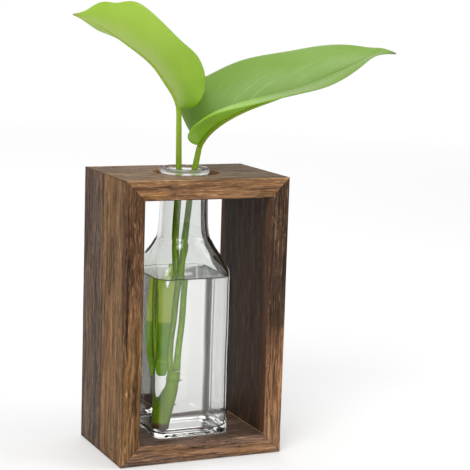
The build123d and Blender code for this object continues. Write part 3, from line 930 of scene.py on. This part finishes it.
def leafMesh(name, base, spec):
    q = np.linspace(0, leafShape["end"], spec["rows"])
    t = np.linspace(0, 1, spec["across"])
    length = spec["length"]
    midrib = smoothCurve(leafPlaces(spec["midribShares"], base, length), q**leafShape["midribPower"])
    ahead = np.gradient(midrib, axis=0)
    halves = []
    for shares, upward, sideSign in ((spec["nearShares"], 1, -1), (spec["farShares"], -1, 1)):
        span = smoothCurve(leafPlaces(shares, base, length), q) - midrib
        reach = np.linalg.norm(span, axis=1, keepdims=True)
        normal = np.cross(span, ahead) * upward
        normal /= np.maximum(np.linalg.norm(normal, axis=1, keepdims=True), 1e-9)
        veins = np.cos(2 * np.pi * spec["veins"] * (q[:, None] - spec["sweep"] * t))
        groove = -np.maximum(veins, 0)**leafShape["grooveSharpness"] * spec["groove"]
        groove = groove * np.sin(np.pi * np.clip(t, 0.03, 1)**0.7)
        groove = groove * np.interp(q, leafShape["grooveFade"], [1, 0])[:, None]
        phase = 2 * np.pi * (q[:, None] * leafShape["ripples"] + sideSign * 0.2)
        ripple = spec["ripple"] * np.sin(phase) * t**3
        arch = 4 * spec["crown"] * t * (1 - t) * reach
        lift = arch + groove + ripple * np.minimum(reach / leafShape["rippleReach"], 1)
        halves.append(midrib[:, None] + span[:, None] * t[:, None] + lift[..., None] * normal[:, None])
    rows = np.concatenate([halves[0][:, ::-1], halves[1][:, 1:]], 1)
    across, along = np.meshgrid(np.concatenate([-t[::-1], t[1:]]), q)
    leaf = sheetMesh(name, rows, {"across": across, "along": along})
    solid = leaf.modifiers.new("thickness", "SOLIDIFY")
    solid.thickness = plantSpec["leafThickness"]
    solid.offset = -1
    return leaf


# Leaf tissue: two greens along the leaf, another pair on its near half, soft patches, a pale line where each
# side vein runs, fine ones between them, a pale midrib with a glow beside it, and a brown tip
def leafMaterial(name, spec):
    material, tree, shader = newMaterial(name)
    place = objectPlace(tree)
    across, along = (
        addNode(tree, "ShaderNodeAttribute", attribute_name=key).outputs["Fac"] for key in ("across", "along")
    )
    patches = noiseNode(tree, place, (60, 60, 60), 3.0)
    speckle = noiseNode(tree, place, (900, 900, 900), 2.0)
    away = mathNode(tree, "ABSOLUTE", across)

    # Vein lines: the highest part of a cosine over the swept place along the leaf
    def crests(swept, count):
        turns = times(tree, swept, count * 2 * math.pi)
        return mathNode(tree, "MAXIMUM", mathNode(tree, "COSINE", turns), 0.0)

    colour = mix(tree, ramp(tree, along, *spec["alongFade"]), spec["base"], spec["tip"])
    near = mix(tree, ramp(tree, along, 0.3, 0.6), spec["nearLow"], spec["nearHigh"])
    nearShare = ramp(tree, along, 0.95, 0.5, 0.6 * spec["nearShare"], spec["nearShare"])
    colour = mix(tree, times(tree, ramp(tree, across, 0.04, -0.04), nearShare), colour, near)
    colour = mix(tree, times(tree, ramp(tree, patches, 0.4, 0.7), 0.5), colour, spec["patch"])
    uneven = times(tree, noiseNode(tree, place, (30, 30, 30), 1.5), 0.2)
    swept = mathNode(tree, "SUBTRACT", along, times(tree, away, spec["sweep"]))
    swept = mathNode(tree, "ADD", swept, uneven)
    line = mathNode(tree, "POWER", crests(swept, spec["veins"]), 8.0)
    line = times(tree, line, times(tree, ramp(tree, away, 1.0, 0.2), spec["veinShare"]))
    line = times(tree, line, ramp(tree, noiseNode(tree, place, (70, 70, 70), 1.0), 0.35, 0.65))
    fineLine = times(tree, crests(swept, spec["veins"] * 4), spec["veinShare"] * 0.3)
    tipFade = ramp(tree, along, 0.88, 0.74)
    colour = mix(tree, times(tree, fineLine, tipFade), colour, spec["vein"])
    colour = mix(tree, times(tree, line, tipFade), colour, spec["vein"])
    glow = times(tree, ramp(tree, away, 0.6, 0.0), spec["glowShare"])
    colour = mix(tree, glow, colour, spec["midrib"])
    midLine = ramp(tree, along, spec["midribTo"], 0.3, 0.0, 0.8)
    midLine = times(tree, ramp(tree, away, 0.045, 0.0), midLine)
    colour = mix(tree, midLine, colour, spec["midrib"])
    brown = times(tree, ramp(tree, along, 0.955, 1.0), 0.8)
    feedAll(tree, shader, {
        "Base Color": mix(tree, brown, colour, spec["brown"]), "Specular IOR Level": 0.4,
        "Roughness": ramp(tree, speckle, 0.3, 0.7, 0.38, 0.5),
    })
    addBump(tree, shader, speckle, 0.0001, 0.35)
    return material


# Stalks: wider at the foot by e to the power -s / footFade, swollen halfway, thinner from thinFrom on, and
# tapering to ribEnd along the midrib
stalkShape = {
    "stemPoints": 220, "ribPoints": 150, "ribReach": 0.93, "window": 17, "jointReach": 30, "sides": 28,
    "bumps": 0.02, "footFade": 0.05, "swellAt": (0.5, 0.2), "thinning": 0.3 * mm, "taper": 0.8,
    "ribEnd": 0.25 * mm,
}
stalkSpecs = {
    "right": {
        "shares": rightPetioleShares, "midribShares": rightMidribShares, "base": plantSpec["rightBase"],
        "length": plantSpec["rightLength"], "radius": 1.95 * mm, "foot": 0.55 * mm, "swell": 0.0,
        "thinFrom": 0.85, "seed": 4,
    },
    "left": {
        "shares": leftPetioleShares, "midribShares": leftMidribShares, "base": plantSpec["leftBase"],
        "length": plantSpec["leftLength"], "radius": 1.82 * mm, "foot": 0.25 * mm, "swell": 0.35 * mm,
        "thinFrom": 0.7, "seed": 6,
    },
}


# A bell curve: e to the power -((s - centre) / width) squared
def bell(s, centre, width):
    return np.exp(-((s - centre) / width)**2)


# A stalk that runs on as the midrib under its leaf; near the joint a running mean rounds the bend
def stalkPath(spec):
    count, half = stalkShape["stemPoints"], stalkShape["window"] // 2
    places = stemPlaces(spec["shares"], plantSpec["caneTop"], spec["base"])
    stem = smoothCurve(places, np.linspace(0, 1, count))
    ribPlaces = leafPlaces(spec["midribShares"], stem[-1], spec["length"])
    rib = smoothCurve(ribPlaces, np.linspace(0, stalkShape["ribReach"], stalkShape["ribPoints"])[1:])
    path = np.vstack([stem, rib])
    window = np.hanning(stalkShape["window"])
    window /= window.sum()
    padded = np.vstack([np.repeat(path[:1], half, 0), path, np.repeat(path[-1:], half, 0)])
    smooth = np.stack([np.convolve(padded[:, k], window, "valid") for k in range(3)], 1)
    near = bell(np.arange(len(path)), count, stalkShape["jointReach"])[:, None]
    return path * (1 - near) + smooth * near


def makeStalk(name, spec):
    path = stalkPath(spec)
    s = np.arange(len(path)) / stalkShape["stemPoints"]
    rib = np.clip((s - 1) / (len(path) / stalkShape["stemPoints"] - 1), 0, 1)
    radius = spec["radius"] + spec["foot"] * np.exp(-s / stalkShape["footFade"])
    radius += spec["swell"] * bell(s, *stalkShape["swellAt"])
    radius -= stalkShape["thinning"] * np.clip((s - spec["thinFrom"]) / (1 - spec["thinFrom"]), 0, 1)
    radius = radius * (1 - rib)**stalkShape["taper"] + stalkShape["ribEnd"] * rib
    return stemMesh(name, path, radius, stalkShape["sides"], stalkShape["bumps"], spec["seed"]), path


# Cane: radii in mm at shares of its length, with a ring and a hollow under it as (centre, width, depth in mm)
caneSpec = {
    "radii": [(0, 3.1), (0.02, 3.4), (0.34, 3.9), (0.69, 4.15), (1, 4.1)],
    "ring": (0.87, 0.03, 0.45), "hollow": (0.80, 0.03, -0.12),
    "nubPlaces": [0.435, 0.845], "nubLengths": [5.6 * mm, 6.2 * mm], "nubRadius": 0.65 * mm,
}


def canePath(shares):
    return smoothCurve(stemPlaces(caneShares, plantSpec["caneFoot"], plantSpec["caneTop"]), np.array(shares))


def makeCane(spec):
    s = np.linspace(0, 1, 120)
    radius = np.interp(s, *np.transpose(spec["radii"])) * mm
    for centre, width, depth in (spec["ring"], spec["hollow"]):
        radius += depth * mm * bell(s, centre, width)
    return stemMesh("cane", canePath(s), radius, 40, 0.03, 3)


caneMesh = makeCane(caneSpec)
rightMesh, rightPath = makeStalk("stalk_right", stalkSpecs["right"])
leftMesh, leftPath = makeStalk("stalk_left", stalkSpecs["left"])


# Root nub: a short cone; its radius also falls as sqrt(1 - u^2) over the outer two thirds, for a round tip
def nubRows(place, ahead, length, radius):
    t = np.linspace(0, 1, 14)
    u = np.clip(t * 1.02 - 0.35, 0, 0.66) / 0.66
    swell = radius * np.sqrt(np.maximum(1 - u**2, 0.02)) * (1 - 0.3 * t)
    side = np.cross(ahead, upDir)
    up = np.cross(side, ahead)
    a = np.linspace(0, 2 * np.pi, 18, endpoint=False)
    ring = np.cos(a)[:, None] * side + np.sin(a)[:, None] * up
    return place + t[:, None, None] * length * ahead + swell[:, None, None] * ring


def addNubs(cane, spec):
    joined = bmesh.new()
    joined.from_mesh(cane.data)
    for place, length in zip(canePath(spec["nubPlaces"]), spec["nubLengths"]):
        nub = loopMesh("nub", nubRows(place, spreadDir, length, spec["nubRadius"]))
        joined.from_mesh(nub.data)
        bpy.data.objects.remove(nub)
    for face in joined.faces:
        face.smooth = True
    joined.to_mesh(cane.data)
    joined.free()


addNubs(caneMesh, caneSpec)
caneMesh.data.materials.append(stemMaterial("cane_green"))
stalkGreen = stemMaterial("stalk_green")
for piece, node, slotName in (
    (caneMesh, "cutting_cane", "cane_tissue"), (rightMesh, "petiole_right", "stem_tissue"),
    (leftMesh, "petiole_left", "stem_tissue"),
):
    if piece is not caneMesh:
        piece.data.materials.append(stalkGreen)
    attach(piece, "cutting")
    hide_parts(node)


# Sheath: flat ovals across its width, one at each level, curled by a parabola at their sides
def makeSheath(spec):
    table = np.array(sheathShares)
    stalk = stemPlaces(leftPetioleShares, spec["caneTop"], spec["leftBase"])[:len(table) - 1]
    stalk = np.vstack([stalk[0] - spec["sheathDrop"] * upDir, stalk])
    out = spec["sheathOff"] + table[:, 2] / 2 + table[:, 0] * spec["reach"]
    places = stalk - out[:, None] * spreadDir + (table[:, 1:2] * spec["reach"]) * awayDir
    s = np.linspace(0, 1, 90)
    path = smoothCurve(np.hstack([places, table[:, 2:]]), s)
    behind = np.interp(s, *np.transpose(sheathBehind))[:, None] * mm
    a = np.linspace(0, 2 * np.pi, 40, endpoint=False)
    across = np.cos(a) * path[:, 3:] / 2
    flat = across + (0.5 + 0.5 * np.cos(a)) * behind
    deep = np.sin(a) * spec["sheathHalf"] - spec["sheathCurl"] * across**2
    return loopMesh("sheath", path[:, None, :3] + flat[..., None] * spreadDir + deep[..., None] * awayDir)


sheath = makeSheath(plantSpec)
sheath.data.materials.append(stemMaterial("sheath_green"))
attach(sheath, "cutting")
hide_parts("leaf_sheath")

leafSpecs = {
    "left": {
        "midribShares": leftMidribShares, "nearShares": leftNearShares, "farShares": leftFarShares,
        "length": plantSpec["leftLength"], "rows": 150, "across": 26, "veins": 9, "sweep": 0.25,
        "groove": 0.06 * mm, "ripple": 0.4 * mm, "crown": 0.1,
    },
    "right": {
        "midribShares": rightMidribShares, "nearShares": rightNearShares, "farShares": rightFarShares,
        "length": plantSpec["rightLength"], "rows": 190, "across": 30, "veins": 9, "sweep": 0.5,
        "groove": 0.14 * mm, "ripple": 0.5 * mm, "crown": 0.1,
    },
}
leafLooks = {
    "left": {
        "base": srgb(122, 166, 24), "tip": srgb(158, 195, 60), "patch": srgb(150, 188, 46),
        "nearLow": srgb(120, 162, 26), "nearHigh": srgb(156, 188, 70), "vein": srgb(176, 204, 100),
        "midrib": srgb(190, 208, 120), "brown": srgb(150, 150, 80), "nearShare": 0.3, "veinShare": 0.12,
        "glowShare": 0.5, "alongFade": (0.05, 0.6), "midribTo": 1.2,
    },
    "right": {
        "base": srgb(116, 155, 56), "tip": srgb(140, 175, 86), "patch": srgb(124, 165, 60),
        "nearLow": srgb(152, 206, 24), "nearHigh": srgb(124, 156, 66), "vein": srgb(166, 196, 118),
        "midrib": srgb(150, 182, 84), "brown": srgb(110, 92, 60), "nearShare": 0.85, "veinShare": 0.45,
        "glowShare": 0.08, "alongFade": (0.1, 0.8), "midribTo": 0.7,
    },
}
for side, spec in leafSpecs.items():
    stalk = stalkSpecs[side]
    base = stemPlaces(stalk["shares"], plantSpec["caneTop"], stalk["base"])[-1]
    leaf = leafMesh("leaf_blade_" + side, base, spec)
    leaf.data.materials.append(leafMaterial("leaf_green_" + side, spec | leafLooks[side]))
    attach(leaf, "cutting")
    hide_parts("leaf_" + side)
print("cutting")

waterRise = bench + glassSpec["water"]
waterStems = []
for path in (rightPath, leftPath):
    k = int(np.argmin(np.abs(path[:, 2] - waterRise)))
    waterStems.append((path[k, 0], path[k, 1], glassSpec["stemRadius"]))
water = makeWater(glassSpec, waterStems)
level = glassSpec["water"] / mm
# Painted shade: a dark tint on the top of the water where it climbs the glass, all round but the back,
# standing in for the dark line the meniscus shows
paintedDarkWaterline = {
    "tint": srgb(70, 74, 60), "share": 0.95,
    "bounds": [fromBottle("Z", level + 0.45, level + 0.8), fromBottle("Y", 17, 12)],
}
water.data.materials.append(clearMaterial("water_clear", 1.333, (1.0, 1.0, 1.0, 1), (paintedDarkWaterline,)))
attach(water, "bottle")
print("water")

# Stage: pale floor, soft lights, white surroundings for the camera and for what glass shows
stageSpec = {
    "floorSize": 6.0, "floorDrop": 0.3 * mm, "floorTone": 0.8, "glowFrom": 0.9, "glowTo": 2.6,
    "nearGlow": 0.16, "farGlow": 0.50, "worldLight": 0.62, "worldMirrored": 0.25,
}


def makeStage(spec):
    half = spec["floorSize"] / 2
    corners = [(x * half, y * half, -spec["floorDrop"]) for x, y in ((-1, -1), (1, -1), (1, 1), (-1, 1))]
    mesh = bpy.data.meshes.new("floor")
    mesh.from_pydata(corners, [], [(0, 1, 2, 3)])
    floor = bpy.data.objects.new("floor", mesh)
    bpy.context.scene.collection.objects.link(floor)
    material, tree, shader = newMaterial("floor_paper")
    tone = (spec["floorTone"],) * 3 + (1,)
    feedAll(tree, shader, {"Base Color": tone, "Roughness": 0.9, "Specular IOR Level": 0.0})
    glow = addNode(tree, "ShaderNodeEmission")
    rays = addNode(tree, "ShaderNodeLightPath")
    seen = mathNode(tree, "MAXIMUM", rays.outputs["Is Camera Ray"], rays.outputs["Is Glossy Ray"])
    seen = mathNode(tree, "MAXIMUM", seen, rays.outputs["Is Transmission Ray"])
    length = addNode(tree, "ShaderNodeVectorMath", operation="LENGTH")
    feed(tree, length, 0, objectPlace(tree))
    glowRange = [spec[key] for key in ("glowFrom", "glowTo", "nearGlow", "farGlow")]
    feed(tree, glow, "Strength", times(tree, seen, ramp(tree, length.outputs["Value"], *glowRange)))
    both = addNode(tree, "ShaderNodeAddShader")
    feedAll(tree, both, {0: shader.outputs[0], 1: glow.outputs[0]})
    feed(tree, tree.nodes["Material Output"], "Surface", both.outputs[0])
    floor.data.materials.append(material)
    world = bpy.data.worlds.new("studio")
    bpy.context.scene.world = world
    world.use_nodes = True
    tree = world.node_tree
    back = tree.nodes["Background"]
    rays = addNode(tree, "ShaderNodeLightPath")
    seen = mathNode(tree, "MAXIMUM", rays.outputs["Is Camera Ray"], rays.outputs["Is Transmission Ray"])
    feed(tree, back, "Color", (1, 1, 1, 1))
    glossy = rays.outputs["Is Glossy Ray"]
    mirrored = ramp(tree, glossy, 0.0, 1.0, spec["worldLight"], spec["worldMirrored"])
    feed(tree, back, "Strength", ramp(tree, seen, 0.0, 1.0, mirrored, 1.0))


lamps = {
    "key": {"place": (-0.9, -1.1, 1.3), "size": 1.0, "power": 16.0},
    "side": {"place": (1.3, -0.7, 0.9), "size": 1.0, "power": 7.0},
    "rear": {"place": (0.2, 1.2, 1.2), "size": 1.0, "power": 6.0},
}


def makeLamps(table):
    aim = Vector((0, 0, 0.12))
    for name, spec in table.items():
        data = bpy.data.lights.new(name, "AREA")
        data.shape, data.size, data.energy = "SQUARE", spec["size"], spec["power"]
        lamp = bpy.data.objects.new(name, data)
        lamp.location = spec["place"]
        lamp.rotation_mode = "QUATERNION"
        lamp.rotation_quaternion = (aim - lamp.location).to_track_quat("-Z", "Y")
        bpy.context.scene.collection.objects.link(lamp)


makeStage(stageSpec)
makeLamps(lamps)
bpy.context.scene.view_settings.view_transform = "Standard"
print("stage")
